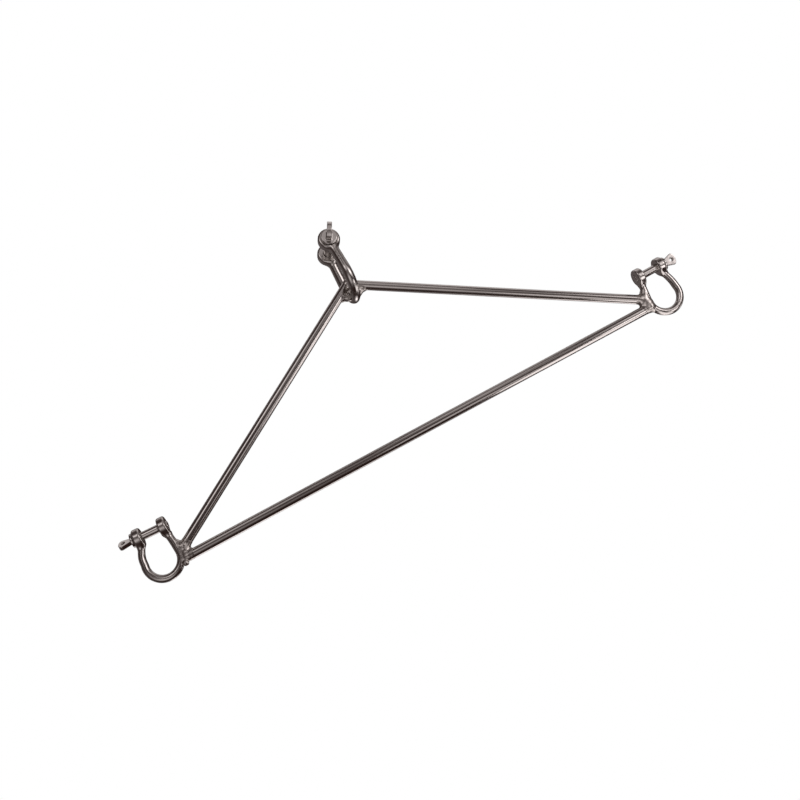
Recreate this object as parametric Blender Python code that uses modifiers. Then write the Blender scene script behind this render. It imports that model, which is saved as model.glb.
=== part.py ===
"""Triangular spreader beam: three welded round bars with a screw-pin bow shackle in each corner.

Metres, +Z up. The origin is the centre of the hoist shackle's pin, from which the beam hangs. The triangle
lies in the XZ plane, its long base bar along X, and the hoist shackle's pin lies along Y.
"""

import math
from types import SimpleNamespace

import bmesh
import bpy
from mathutils import Matrix, Vector

# Fit between neighbouring solids
GAP = 0.0003
MERGE = 0.00001

# Triangle of bar axes
BAR_R = 0.006
HALF_SPAN = 0.3433  # middle of the base bar to a corner, where two bar axes cross
RISE = 0.2083  # base bar axis to the apex
BAR_SIDES = 32
END_APPROACH = 0.050  # where the search for a bar's square end starts, from the corner
END_STEP = 0.0002

# Shackle sizes: the lower pair is of 10 mm rod, the hoist shackle the next size up
END_SIZE = SimpleNamespace(
    rod_r=0.00487,  # round rod of the bow
    bow_r=0.0213,  # centreline radius of the round part
    reach=0.0362,  # centre of the round part to the pin's axis
    half_jaw=0.0157,  # middle of the jaw to the middle of an ear
    ear_r=0.0116,
    ear_half=0.0051,  # half an ear's thickness
    pin_r=0.005,
    collar_r=0.0086,
    collar_t=0.0030,
    eye_r=0.0078,  # half the width of the flattened eye on the pin's head
    eye_half=0.0025,
    eye_hole_r=0.0028,
    eye_reach=0.0195,  # outer face of the ear to the far end of the eye
    tip=0.0012,  # how far the pin's point stands out of the threaded ear
)
HOIST_SIZE = SimpleNamespace(
    rod_r=0.00652,
    bow_r=0.0272,
    reach=0.0480,
    half_jaw=0.0204,
    ear_r=0.0142,
    ear_half=0.0062,
    pin_r=0.006,
    collar_r=0.0103,
    collar_t=0.0036,
    eye_r=0.0110,
    eye_half=0.0030,
    eye_hole_r=0.0038,
    eye_reach=0.0268,
    tip=0.0014,
)

# How the shackles sit on the triangle, as welded by hand. offset runs from the corner, or from the apex, to
# the centre of the shackle's round part; tilt, pitch and yaw are degrees about Y, X and Z; eye_turn is how
# far the pin's flat eye is turned about the pin.
LEFT_SET = SimpleNamespace(offset=Vector((-0.0074, 0, 0.0097)), tilt=3.0, pitch=0.0, yaw=-2.8, eye_turn=53.0)
RIGHT_SET = SimpleNamespace(offset=Vector((0.0056, 0, 0.0050)), tilt=-0.7, pitch=2.8, yaw=0.0, eye_turn=-4.0)
HOIST_SET = SimpleNamespace(offset=Vector((0.0018, 0, 0.0076)), tilt=1.8, pitch=-2.8, yaw=4.4, eye_turn=28.0)

# Forging details that every shackle shares, as shares of its own size
LEG_TAPER = 0.9  # rod radius at the ears
EAR_ROUNDING = 0.45  # rounding of an ear's rims, of half its thickness
SEAT_MARGIN = 0.0006  # how far the flat seat on an ear's face runs past the pin's collar
NECK_SHARE = 0.46  # half the width of the eye's neck, of the collar's radius
EYE_SQUARENESS = 0.75  # power that squares the eye's round outline, 1 being a circle
HOLE_SHIFT = 0.15  # how far the eye's hole lies beyond its middle, of its half width
EYE_BEVEL = 0.3  # bevel on the eye's rims, of half its thickness
EYE_ROOT = 0.5  # where the eye starts inside the collar, of the collar's thickness
COLLAR_DOME = 0.35  # crown and rounding of the collar, of its thickness
COLLAR_FLAT = 0.5  # radius of the flat top of the crown, of the collar's
POINT_CHAMFER = 0.2  # chamfer of the pin's point, of its radius

# Weld beads at the lower corners: a cone of metal round each bar end, a web in the crotch between the two
# bars and a fillet from the side bar up the bow's leg, all parted along the crotch. The places of the web and
# of the fillet run from the corner, with X inward along the base bar.
WELD_ROOT_R = 0.0083  # radius of a bead where it meets the bow
WELD_TOE_R = 0.0066  # radius where it runs out on the bar
WELD_LENGTH = 0.0058
WELD_UNDERCUT = 0.0035  # how far a bead wraps back round the bow
WEB_AT = Vector((0.0195, 0, 0.0062))
WEB_RADII = (0.0085, 0.0052, 0.0040)
LEG_FILLET_AT = Vector((0.0165, 0, 0.0190))
LEG_FILLET_RADII = (0.0050, 0.0046, 0.0052)
DRIP_AT = Vector((-0.0040, -0.0042, -0.0062))  # drop of metal under the left corner, from the base bar's end
DRIP_R = 0.0043

# Weld beads at the apex: a fillet from each side bar's underside to the hoist bow, and the mitre seam
FILLET_OUT = 0.0125  # apex to the middle of a fillet
FILLET_DOWN = 0.0137
FILLET_RADII = (0.0090, 0.0068, 0.0052)
SEAM_R = 0.0014

# Facets
ROD_BEVEL_RESOLUTION = 4
BOW_ARC_STEPS = 18
RIM_STEPS = 3
TURNED_STEPS = 28
EYE_STEPS = 20
EYE_BEVEL_STEPS = 2
WELD_SEGMENTS = 18
WELD_RINGS = 12
SEAM_SEGMENTS = 24
SEAM_SIDES = 8
SMOOTH_ANGLE = math.radians(40)  # edges sharper than this are shaded as edges
BEVEL_ANGLE = math.radians(60)  # edges sharper than this are bevelled

CUTTER_SIZE = 0.2  # side of the box that stands for half of space

# Stainless steels: material name, colour, roughness
BAR_STEEL = ("bar_steel", (0.62, 0.60, 0.58), 0.2)
BOW_STEEL = ("bow_steel", (0.55, 0.53, 0.51), 0.28)
PIN_STEEL = ("pin_steel", (0.66, 0.64, 0.62), 0.22)
WELD_STEEL = ("weld_steel", (0.42, 0.39, 0.36), 0.42)


def clear_scene():
    for obj in list(bpy.data.objects):
        bpy.data.objects.remove(obj)


def new_collection(name):
    collection = bpy.data.collections.new(name)
    bpy.context.scene.collection.children.link(collection)
    return collection


def steel(name, colour, roughness):
    """A metal of its own for one part."""
    material = bpy.data.materials.new(name)
    material.use_nodes = True
    shader = material.node_tree.nodes["Principled BSDF"]
    shader.inputs["Base Color"].default_value = (*colour, 1.0)
    shader.inputs["Metallic"].default_value = 1.0
    shader.inputs["Roughness"].default_value = roughness
    return material


def link(obj, collection):
    for old in list(obj.users_collection):
        old.objects.unlink(obj)
    collection.objects.link(obj)


def as_part(obj, name, metal):
    """Names an object, gives it its steel and puts it with the parts."""
    obj.name = name
    obj.data.name = name
    obj.data.materials.clear()
    obj.data.materials.append(steel(*metal))
    link(obj, parts)


def as_cutter(obj):
    link(obj, cutters)
    obj.hide_render = True
    obj.display_type = "WIRE"
    return obj


def boolean(obj, other, operation):
    modifier = obj.modifiers.new(operation.title(), "BOOLEAN")
    modifier.operation = operation
    modifier.object = other
    modifier.solver = "EXACT"


def meshed(obj):
    """Turns an object with its modifiers, or a curve, into a plain closed mesh object in the same place."""
    bpy.context.view_layer.update()
    graph = bpy.context.evaluated_depsgraph_get()
    mesh = bpy.data.meshes.new_from_object(obj.evaluated_get(graph))
    bm = bmesh.new()
    bm.from_mesh(mesh)
    bmesh.ops.remove_doubles(bm, verts=bm.verts, dist=MERGE)
    bmesh.ops.dissolve_degenerate(bm, edges=bm.edges, dist=MERGE)
    bmesh.ops.recalc_face_normals(bm, faces=bm.faces)
    bm.to_mesh(mesh)
    bm.free()
    mesh.shade_smooth()
    mesh.set_sharp_from_angle(angle=SMOOTH_ANGLE)
    solid = bpy.data.objects.new(obj.name + "_mesh", mesh)
    cutters.objects.link(solid)
    solid.matrix_world = obj.matrix_world.copy()
    bpy.data.objects.remove(obj)
    return solid


def turned(name, profile, matrix):
    """A turned solid about local Z from (radius, height) points, top to bottom."""
    mesh = bpy.data.meshes.new(name)
    points = [(radius, 0.0, height) for radius, height in profile]
    mesh.from_pydata(points, [(i, i + 1) for i in range(len(points) - 1)], [])
    obj = bpy.data.objects.new(name, mesh)
    cutters.objects.link(obj)
    obj.matrix_world = matrix
    screw = obj.modifiers.new("Screw", "SCREW")
    screw.axis = "Z"
    screw.steps = TURNED_STEPS
    screw.render_steps = TURNED_STEPS
    screw.use_merge_vertices = True
    screw.merge_threshold = MERGE
    return meshed(obj)


def rounded_disc(radius, half, edge):
    """Profile of a disc with rounded rims."""
    top = [
        (radius - edge + edge * math.sin(a), half - edge + edge * math.cos(a))
        for a in (math.pi / 2 * i / RIM_STEPS for i in range(RIM_STEPS + 1))
    ]
    bottom = [(r, -z) for r, z in reversed(top)]
    return [(0.0, half), *top, *bottom, (0.0, -half)]


def along(direction, origin, across=Vector((0, 1, 0))):
    """World matrix whose Z is the direction and whose X lies as near as it can to across."""
    z = direction.normalized()
    x = (across - z * across.dot(z)).normalized()
    y = z.cross(x)
    matrix = Matrix((x, y, z)).transposed().to_4x4()
    matrix.translation = origin
    return matrix


def cylinder(start, end, radius, sides):
    axis = end - start
    bpy.ops.mesh.primitive_cylinder_add(vertices=sides, radius=radius, depth=axis.length)
    obj = bpy.context.object
    obj.matrix_world = along(axis, (start + end) / 2)
    return obj


def shackle_matrix(setting, centre):
    """Local X along the pin, local Z from the round part to the pin."""
    turn = (
        Matrix.Rotation(math.radians(setting.yaw), 4, "Z")
        @ Matrix.Rotation(math.radians(setting.pitch), 4, "X")
        @ Matrix.Rotation(math.radians(setting.tilt), 4, "Y")
    )
    return Matrix.Translation(centre) @ turn


def bow_path(size):
    """Centreline of the bow in its XZ plane: ear, straight leg, round part, straight leg, ear."""
    to_ear = math.hypot(size.half_jaw, size.reach)
    start = math.atan2(size.reach, size.half_jaw) - math.acos(size.bow_r / to_ear)
    sweep = math.pi + 2 * start
    arc = [start - sweep * i / BOW_ARC_STEPS for i in range(BOW_ARC_STEPS + 1)]
    round_part = [Vector((size.bow_r * math.cos(a), 0, size.bow_r * math.sin(a))) for a in arc]
    ears = [Vector((side * size.half_jaw, 0, size.reach)) for side in (1, -1)]
    return [ears[0], *round_part, ears[1]]


def rod(points, radius, matrix):
    """Round rod along a path, drawn down a little towards its two closed ends."""
    data = bpy.data.curves.new("rod", "CURVE")
    data.dimensions = "3D"
    data.bevel_depth = radius
    data.bevel_resolution = ROD_BEVEL_RESOLUTION
    data.use_fill_caps = True
    spline = data.splines.new("POLY")
    spline.points.add(len(points) - 1)
    for point, place in zip(spline.points, points):
        point.co = (*place, 1.0)
    for end in (spline.points[0], spline.points[-1]):
        end.radius = LEG_TAPER
    obj = bpy.data.objects.new("rod", data)
    cutters.objects.link(obj)
    obj.matrix_world = matrix
    return meshed(obj)


def make_bow(name, size, matrix):
    """A forged bow: round rod with a thick flat ear on each end, bored for the pin."""
    bow = rod(bow_path(size), size.rod_r, matrix)
    quarter = Matrix.Rotation(math.pi / 2, 4, "Y")
    for side in (-1, 1):
        centre = Matrix.Translation((side * size.half_jaw, 0, size.reach))
        profile = rounded_disc(size.ear_r, size.ear_half, size.ear_half * EAR_ROUNDING)
        boolean(bow, as_cutter(turned("ear", profile, matrix @ centre @ quarter)), "UNION")
    bow = meshed(bow)
    outside = size.half_jaw + size.ear_half
    inside = size.half_jaw - size.ear_half
    seat_r = size.collar_r + SEAT_MARGIN
    cuts = (
        (-outside - size.ear_half, outside + size.ear_half, size.pin_r + GAP),
        (outside, outside + size.ear_half, seat_r),
        (-outside - size.ear_half, -outside, seat_r),
        (-inside, inside, seat_r),
    )
    for start, end, radius in cuts:
        a, b = (matrix @ Vector((x, 0, size.reach)) for x in (start, end))
        boolean(bow, as_cutter(cylinder(a, b, radius, TURNED_STEPS)), "DIFFERENCE")
        bow = meshed(bow)
    as_part(bow, name, BOW_STEEL)


def squared(value):
    """A sine or cosine that makes a squarish outline of a circle."""
    return math.copysign(abs(value) ** EYE_SQUARENESS, value)


def eye_plate(size, base, matrix):
    """Flattened eye in local XZ: a neck that flares into a squarish round plate with a hole."""
    centre = size.eye_reach - size.eye_r
    hole_centre = centre + HOLE_SHIFT * size.eye_r
    neck = size.collar_r * NECK_SHARE
    meet = math.acos((neck / size.eye_r) ** (1 / EYE_SQUARENESS))
    sweep = math.pi + 2 * meet
    arc = [sweep * i / EYE_STEPS - meet for i in range(EYE_STEPS + 1)]
    outline = [(size.eye_r * squared(math.cos(a)), centre + size.eye_r * squared(math.sin(a))) for a in arc]
    outline = [(neck, base), *outline, (-neck, base)]
    hole = [
        (size.eye_hole_r * math.cos(a), hole_centre + size.eye_hole_r * math.sin(a))
        for a in (2 * math.pi * i / EYE_STEPS for i in range(EYE_STEPS))
    ]
    data = bpy.data.curves.new("eye", "CURVE")
    data.dimensions = "2D"
    data.fill_mode = "BOTH"
    data.extrude = size.eye_half
    for loop in (outline, hole):
        spline = data.splines.new("POLY")
        spline.points.add(len(loop) - 1)
        spline.use_cyclic_u = True
        for point, (x, y) in zip(spline.points, loop):
            point.co = (x, y, 0.0, 1.0)
    obj = bpy.data.objects.new("eye", data)
    cutters.objects.link(obj)
    upright = Matrix.Rotation(math.pi / 2, 4, "X")
    face = Matrix.Translation((0, 0, size.half_jaw + size.ear_half))
    obj.matrix_world = matrix @ face @ upright
    plate = meshed(obj)
    edge = plate.modifiers.new("Bevel", "BEVEL")
    edge.width = size.eye_half * EYE_BEVEL
    edge.segments = EYE_BEVEL_STEPS
    edge.limit_method = "ANGLE"
    edge.angle_limit = BEVEL_ANGLE
    return meshed(plate)


def pin_matrix(setting, size, matrix, head):
    """Pin's frame: origin on its axis in the middle of the jaw, Z towards its head, X across its eye."""
    origin = matrix @ Vector((0, 0, size.reach))
    axis = matrix.to_3x3() @ Vector((head, 0, 0))
    turn = math.radians(setting.eye_turn)
    across = matrix.to_3x3() @ Vector((0, math.sin(turn), math.cos(turn)))
    return along(axis, origin, across)


def make_pin(name, setting, size, matrix, head):
    """Screw pin: shank with a chamfered point, round collar and flattened eye."""
    place = pin_matrix(setting, size, matrix, head)
    ear_face = size.half_jaw + size.ear_half
    collar = ear_face + GAP
    top = collar + size.collar_t
    point = -(ear_face + size.tip)
    chamfer = size.pin_r * POINT_CHAMFER
    dome = size.collar_t * COLLAR_DOME
    profile = [
        (0.0, top + dome),
        (size.collar_r * COLLAR_FLAT, top + dome),
        (size.collar_r - dome, top),
        (size.collar_r, top - dome),
        (size.collar_r, collar + dome / 2),
        (size.collar_r - dome / 2, collar),
        (size.pin_r, collar),
        (size.pin_r, point + chamfer),
        (size.pin_r - chamfer, point),
        (0.0, point),
    ]
    pin = turned("pin", profile, place)
    plate = as_cutter(eye_plate(size, size.collar_t * EYE_ROOT, place))
    boolean(pin, plate, "UNION")
    as_part(meshed(pin), name, PIN_STEEL)


def nearest(point, path):
    """Distance from a point to a path of straight stretches."""
    best = math.inf
    for a, b in zip(path, path[1:]):
        share = max(0.0, min(1.0, (point - a).dot(b - a) / (b - a).length_squared))
        best = min(best, (point - a.lerp(b, share)).length)
    return best


def square_end(corner, far, obstacles):
    """How far a square-cut bar can run in from the far end before it meets a (path, radius) obstacle."""
    axis = (far - corner).normalized()
    frame = along(axis, corner).to_3x3()
    rim = [
        frame @ Vector((BAR_R * math.cos(a), BAR_R * math.sin(a), 0))
        for a in (2 * math.pi * i / BAR_SIDES for i in range(BAR_SIDES))
    ]
    face = [Vector((0, 0, 0)), *rim]
    reach = END_APPROACH
    while all(
        nearest(corner + axis * reach + offset, path) > radius + 2 * GAP
        for path, radius in obstacles
        for offset in face
    ):
        reach -= END_STEP
    return corner + axis * (reach + END_STEP)


def blob(centre, radii, matrix=Matrix.Identity(4)):
    """A rounded lump of weld metal."""
    bpy.ops.mesh.primitive_uv_sphere_add(segments=WELD_SEGMENTS, ring_count=WELD_RINGS, radius=1.0)
    obj = bpy.context.object
    size = Matrix.Diagonal((*radii, 1.0))
    obj.data.transform(matrix.to_3x3().to_4x4() @ size)
    obj.matrix_world = Matrix.Translation(centre)
    return as_cutter(obj)


def cone(start, end, start_r, end_r):
    axis = end - start
    bpy.ops.mesh.primitive_cone_add(
        vertices=WELD_SEGMENTS, radius1=start_r, radius2=end_r, depth=axis.length
    )
    obj = bpy.context.object
    obj.matrix_world = along(axis, (start + end) / 2)
    return obj


def half_space(point, normal):
    """A large box that fills the side of a plane which the normal points away from."""
    bpy.ops.mesh.primitive_cube_add(size=CUTTER_SIZE)
    obj = bpy.context.object
    obj.matrix_world = along(normal, point - normal.normalized() * CUTTER_SIZE / 2)
    return as_cutter(obj)


def side_bar(foot, side, radius, past):
    """A round bar from its foot up to the apex, cut off at the mitre; past moves the cut beyond the middle."""
    beyond = apex + (apex - foot).normalized() * BAR_R * 2
    bar = cylinder(foot, beyond, radius, BAR_SIDES)
    mitre = half_space(apex - Vector((side * past, 0, 0)), Vector((side, 0, 0)))
    boolean(bar, mitre, "DIFFERENCE")
    return meshed(bar)


def grown_side(foot, side):
    """A side bar with room round it, for cutting welds back."""
    return as_cutter(side_bar(foot, side, BAR_R + GAP, GAP / 2))


def grown_rod(size, matrix):
    """A bow's rod with room round it, for cutting welds back."""
    return as_cutter(rod(bow_path(size), size.rod_r + GAP, matrix))


def make_weld(name, base, extra, cuts):
    """A weld bead: a base lump with more joined to it, cut back from the pieces that it joins."""
    for lump in extra:
        boolean(base, lump, "UNION")
    base = meshed(base)
    for cut in cuts:
        boolean(base, cut, "DIFFERENCE")
        base = meshed(base)
    as_part(base, name, WELD_STEEL)


clear_scene()
parts = new_collection("spreader_beam")
cutters = new_collection("cutters")

# The hoist shackle's round part hangs below the pin at the origin, and the triangle hangs from that
hoist_turn = shackle_matrix(HOIST_SET, Vector((0, 0, 0)))
across_y = Matrix.Rotation(-math.pi / 2, 4, "Z")
hoist_centre = hoist_turn @ Vector((0, 0, -HOIST_SIZE.reach))
apex = hoist_centre - HOIST_SET.offset
left_corner = apex + Vector((-HALF_SPAN, 0, -RISE))
right_corner = apex + Vector((HALF_SPAN, 0, -RISE))

hoist = Matrix.Translation(hoist_centre) @ hoist_turn @ across_y
left = shackle_matrix(LEFT_SET, left_corner + LEFT_SET.offset)
right = shackle_matrix(RIGHT_SET, right_corner + RIGHT_SET.offset)

make_bow("hoist_shackle_bow", HOIST_SIZE, hoist)
make_bow("left_shackle_bow", END_SIZE, left)
make_bow("right_shackle_bow", END_SIZE, right)
make_pin("hoist_shackle_pin", HOIST_SET, HOIST_SIZE, hoist, 1)
make_pin("left_shackle_pin", LEFT_SET, END_SIZE, left, -1)
make_pin("right_shackle_pin", RIGHT_SET, END_SIZE, right, 1)

# Bars, cut square where they meet a bow and mitred against each other at the apex
left_rod = [left @ point for point in bow_path(END_SIZE)]
right_rod = [right @ point for point in bow_path(END_SIZE)]
base_axis = [left_corner, right_corner]
base_left = square_end(left_corner, right_corner, [(left_rod, END_SIZE.rod_r)])
base_right = square_end(right_corner, left_corner, [(right_rod, END_SIZE.rod_r)])
side_left = square_end(left_corner, apex, [(left_rod, END_SIZE.rod_r), (base_axis, BAR_R)])
side_right = square_end(right_corner, apex, [(right_rod, END_SIZE.rod_r), (base_axis, BAR_R)])

base_bar = cylinder(base_left, base_right, BAR_R, BAR_SIDES)
as_part(meshed(base_bar), "base_bar", BAR_STEEL)
as_part(side_bar(side_left, -1, BAR_R, -GAP / 2), "left_side_bar", BAR_STEEL)
as_part(side_bar(side_right, 1, BAR_R, -GAP / 2), "right_side_bar", BAR_STEEL)

# Welds of the lower corners, each cut back from the pieces that it joins
corners = (
    ("left", left, left_corner, right_corner, base_left, side_left),
    ("right", right, right_corner, left_corner, base_right, side_right),
)
for label, matrix, corner, far_corner, base_end, side_end in corners:
    base_way = (far_corner - corner).normalized()
    side_way = (apex - corner).normalized()
    crotch = side_way - base_way
    grown_base = as_cutter(cylinder(base_end - base_way * GAP, far_corner, BAR_R + GAP, BAR_SIDES))
    grown_side_bar = grown_side(side_end - side_way * GAP, math.copysign(1, corner.x))
    for kind, end, way, sign in (("side", side_end, side_way, 1), ("base", base_end, base_way, -1)):
        bead = cone(end - way * WELD_UNDERCUT, end + way * WELD_LENGTH, WELD_ROOT_R, WELD_TOE_R)
        keep = crotch * sign
        inward = Matrix.Diagonal((-math.copysign(1, corner.x), 1, 1))
        lumps = [blob(corner + inward @ WEB_AT, WEB_RADII)]
        if kind == "side":
            lumps.append(blob(corner + inward @ LEG_FILLET_AT, LEG_FILLET_RADII))
        elif label == "left":
            lumps.append(blob(end + DRIP_AT, (DRIP_R, DRIP_R, DRIP_R)))
        cuts = [
            half_space(corner + keep.normalized() * GAP / 2, keep),
            grown_rod(END_SIZE, matrix),
            grown_base,
            grown_side_bar,
        ]
        make_weld(f"{label}_{kind}_weld", bead, lumps, cuts)

# Welds of the apex
grown_hoist = grown_rod(HOIST_SIZE, hoist)
grown_sides = [grown_side(side_left, -1), grown_side(side_right, 1)]
for label, side in (("left", -1), ("right", 1)):
    slope = Matrix.Rotation(side * math.atan2(RISE, HALF_SPAN), 4, "Y")
    middle = apex + Vector((side * FILLET_OUT, 0, -FILLET_DOWN))
    fillet = blob(middle, FILLET_RADII, slope)
    make_weld(f"hoist_{label}_weld", fillet, [], [grown_hoist, *grown_sides])

bpy.ops.mesh.primitive_torus_add(
    major_segments=SEAM_SEGMENTS, minor_segments=SEAM_SIDES, major_radius=BAR_R, minor_radius=SEAM_R
)
seam = bpy.context.object
mitre_stretch = 1 / math.cos(math.atan2(RISE, HALF_SPAN))
seam.data.transform(Matrix.Rotation(math.pi / 2, 4, "Y") @ Matrix.Diagonal((mitre_stretch, 1, 1, 1)))
seam.matrix_world = Matrix.Translation(apex)
make_weld("apex_weld", seam, [], [*grown_sides, grown_hoist])

bpy.context.view_layer.update()
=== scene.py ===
"""Looks of the triangular spreader beam: polished bars, forged screw-pin shackles and rippled weld beads.

Metres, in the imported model's frame: the origin is the hoist pin's centre, the base bar lies along X and +Z is
up. Everything but the bars is modelled as a distance field, negative inside, and skinned with quads.
"""

import math
from types import SimpleNamespace

import bpy
import numpy as np
from mathutils import Euler, Matrix, Vector


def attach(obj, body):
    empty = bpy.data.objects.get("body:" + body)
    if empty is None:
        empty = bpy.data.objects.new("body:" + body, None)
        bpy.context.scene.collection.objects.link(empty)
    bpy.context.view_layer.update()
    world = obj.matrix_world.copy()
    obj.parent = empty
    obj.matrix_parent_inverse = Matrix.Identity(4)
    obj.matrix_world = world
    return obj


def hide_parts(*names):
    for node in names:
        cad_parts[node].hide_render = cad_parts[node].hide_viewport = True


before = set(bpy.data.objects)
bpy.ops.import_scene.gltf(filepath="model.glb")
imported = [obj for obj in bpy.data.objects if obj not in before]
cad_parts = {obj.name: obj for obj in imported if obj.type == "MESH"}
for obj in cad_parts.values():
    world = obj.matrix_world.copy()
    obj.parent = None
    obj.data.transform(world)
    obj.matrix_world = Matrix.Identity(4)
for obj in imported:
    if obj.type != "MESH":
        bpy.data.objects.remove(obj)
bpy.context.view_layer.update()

MM = 0.001

# ---------------------------------------------------------------- driving dimensions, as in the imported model

BAR_R = 6.0 * MM
HALF_SPAN = 343.3 * MM
RISE = 208.3 * MM
SLANT = math.atan2(RISE, HALF_SPAN)
LEG_TAPER = 0.9  # a bow leg's radius at its ear, of the round part's

# reach runs from the round part's centre to the pin; eye_reach and tip run from the ears' outer faces; pitch is
# the thread's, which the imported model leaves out
END_SIZE = SimpleNamespace(
    rod_r=4.87 * MM, bow_r=21.3 * MM, reach=36.2 * MM, half_jaw=15.7 * MM,
    ear_r=11.6 * MM, ear_half=5.1 * MM,
    pin_r=5.0 * MM, collar_r=8.6 * MM, collar_t=3.0 * MM,
    eye_r=7.8 * MM, eye_half=2.5 * MM, eye_hole_r=2.8 * MM, eye_reach=19.5 * MM,
    tip=1.2 * MM, pitch=1.5 * MM,
)
HOIST_SIZE = SimpleNamespace(
    rod_r=6.52 * MM, bow_r=27.2 * MM, reach=48.0 * MM, half_jaw=20.4 * MM,
    ear_r=14.2 * MM, ear_half=6.2 * MM,
    pin_r=6.0 * MM, collar_r=10.3 * MM, collar_t=3.6 * MM,
    eye_r=11.0 * MM, eye_half=3.0 * MM, eye_hole_r=3.8 * MM, eye_reach=26.8 * MM,
    tip=1.4 * MM, pitch=1.75 * MM,
)
# offset, tilt, pitch, yaw and eye_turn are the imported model's. sway is how far the legs on the local -X and +X
# sides swing out and in on their way up to the ears, of the round part's radius, and eye_corner is the rounding
# of the eye's two far corners.
LEFT_SET = SimpleNamespace(
    offset=Vector((-0.0074, 0, 0.0097)), tilt=3.0, pitch=0.0, yaw=-2.8, eye_turn=53.0,
    sway=(0.052, 0.01), eye_corner=2.6 * MM,
)
RIGHT_SET = SimpleNamespace(
    offset=Vector((0.0056, 0, 0.0050)), tilt=-0.7, pitch=2.8, yaw=0.0, eye_turn=-4.0,
    sway=(0.0, 0.03), eye_corner=0.6 * MM,
)
HOIST_SET = SimpleNamespace(
    offset=Vector((0.0018, 0, 0.0076)), tilt=1.8, pitch=-2.8, yaw=4.4, eye_turn=28.0,
    sway=(0.0, 0.0), eye_corner=1.2 * MM,
)


def shackle_matrix(setting, centre):
    """Local X along the pin, local Z from the bow's round part to the pin."""
    turn = (
        Matrix.Rotation(math.radians(setting.yaw), 4, "Z")
        @ Matrix.Rotation(math.radians(setting.pitch), 4, "X")
        @ Matrix.Rotation(math.radians(setting.tilt), 4, "Y")
    )
    return Matrix.Translation(centre) @ turn


def along(direction, origin, across=Vector((0, 1, 0))):
    """Matrix whose Z is the direction and whose X lies as near as it can to across."""
    z = direction.normalized()
    x = (across - z * across.dot(z)).normalized()
    matrix = Matrix((x, z.cross(x), z)).transposed().to_4x4()
    matrix.translation = origin
    return matrix


def pin_matrix(setting, size, matrix, head):
    """Pin's frame: origin on its axis in the middle of the jaw, Z towards its head, X across its eye."""
    turn = math.radians(setting.eye_turn)
    across = matrix.to_3x3() @ Vector((0, math.sin(turn), math.cos(turn)))
    return along(matrix.to_3x3() @ Vector((head, 0, 0)), matrix @ Vector((0, 0, size.reach)), across)


hoist_turn = shackle_matrix(HOIST_SET, Vector((0, 0, 0)))
hoist_centre = hoist_turn @ Vector((0, 0, -HOIST_SIZE.reach))
APEX = hoist_centre - HOIST_SET.offset
LEFT_CORNER = APEX + Vector((-HALF_SPAN, 0, -RISE))
RIGHT_CORNER = APEX + Vector((HALF_SPAN, 0, -RISE))
HOIST = Matrix.Translation(hoist_centre) @ hoist_turn @ Matrix.Rotation(-math.pi / 2, 4, "Z")
LEFT = shackle_matrix(LEFT_SET, LEFT_CORNER + LEFT_SET.offset)
RIGHT = shackle_matrix(RIGHT_SET, RIGHT_CORNER + RIGHT_SET.offset)

# ---------------------------------------------------------------- distance fields, on arrays of points


def length(vectors):
    """Length of each vector in an array."""
    return np.sqrt(np.sum(vectors * vectors, axis=-1))


def blend(a, b, reach):
    """Union of two fields with a fillet about as wide as reach."""
    share = np.clip(0.5 + 0.5 * (b - a) / reach, 0.0, 1.0)
    return b * (1 - share) + a * share - reach * share * (1 - share)


def carve(a, b, reach):
    """Field a with b cut out of it, and the new edge broken by about reach."""
    return -blend(-a, b, reach)


def local(matrix, points):
    """World points in a matrix's own frame."""
    inverse = np.array(matrix.inverted())
    return points @ inverse[:3, :3].T + inverse[:3, 3]


def ball(points, centre, radii):
    """Ellipsoid with its axes along the frame's."""
    scaled = (points - np.array(centre)) / np.array(radii)
    reach = length(scaled)
    return reach * (reach - 1) / np.maximum(length(scaled / np.array(radii)), 1e-9)


def disc(rho, height, radius, half, edge):
    """Round disc with rims rounded to edge, from a point's distance from the axis and its height."""
    out = np.stack([rho - (radius - edge), np.abs(height) - (half - edge)], axis=-1)
    return length(np.maximum(out, 0)) + np.minimum(out.max(axis=-1), 0) - edge


def capsule(points, start, end, start_r, end_r):
    """Rod with round ends, of radius start_r at its start and end_r at its end."""
    axis = np.array(end) - np.array(start)
    share = np.clip((points - np.array(start)) @ axis / (axis @ axis), 0, 1)
    return length(points - np.array(start) - share[:, None] * axis) - start_r - share * (end_r - start_r)


def join(fields, reach):
    """Union of fields with fillets of about reach between them."""
    total = fields[0]
    for other in fields[1:]:
        total = blend(total, other, reach)
    return total


LATTICE = 16  # random values each way before the noise repeats
SPARE = 1.0 * MM  # room round a piece in the grid that it is worked out on


def lumps(points, size, seed):
    """Smooth noise from about -1 to 1, with lumps of the given size."""
    values = np.random.default_rng(seed).uniform(-1, 1, (LATTICE,) * 3)
    scaled = points / size
    cell = np.floor(scaled).astype(int)
    share = scaled - cell
    share = share * share * (3 - 2 * share)
    total = np.zeros(len(points))
    for corner in np.ndindex(2, 2, 2):
        weight = np.prod(np.where(corner, share, 1 - share), axis=1)
        total += weight * values[tuple((cell + corner).T % LATTICE)]
    return total


BATCH = 400_000  # points to work out at a time
SETTLE_ROUNDS = 3
FLATTEST = 0.2  # least squared slope of a field that a corner's move is divided by


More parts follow.
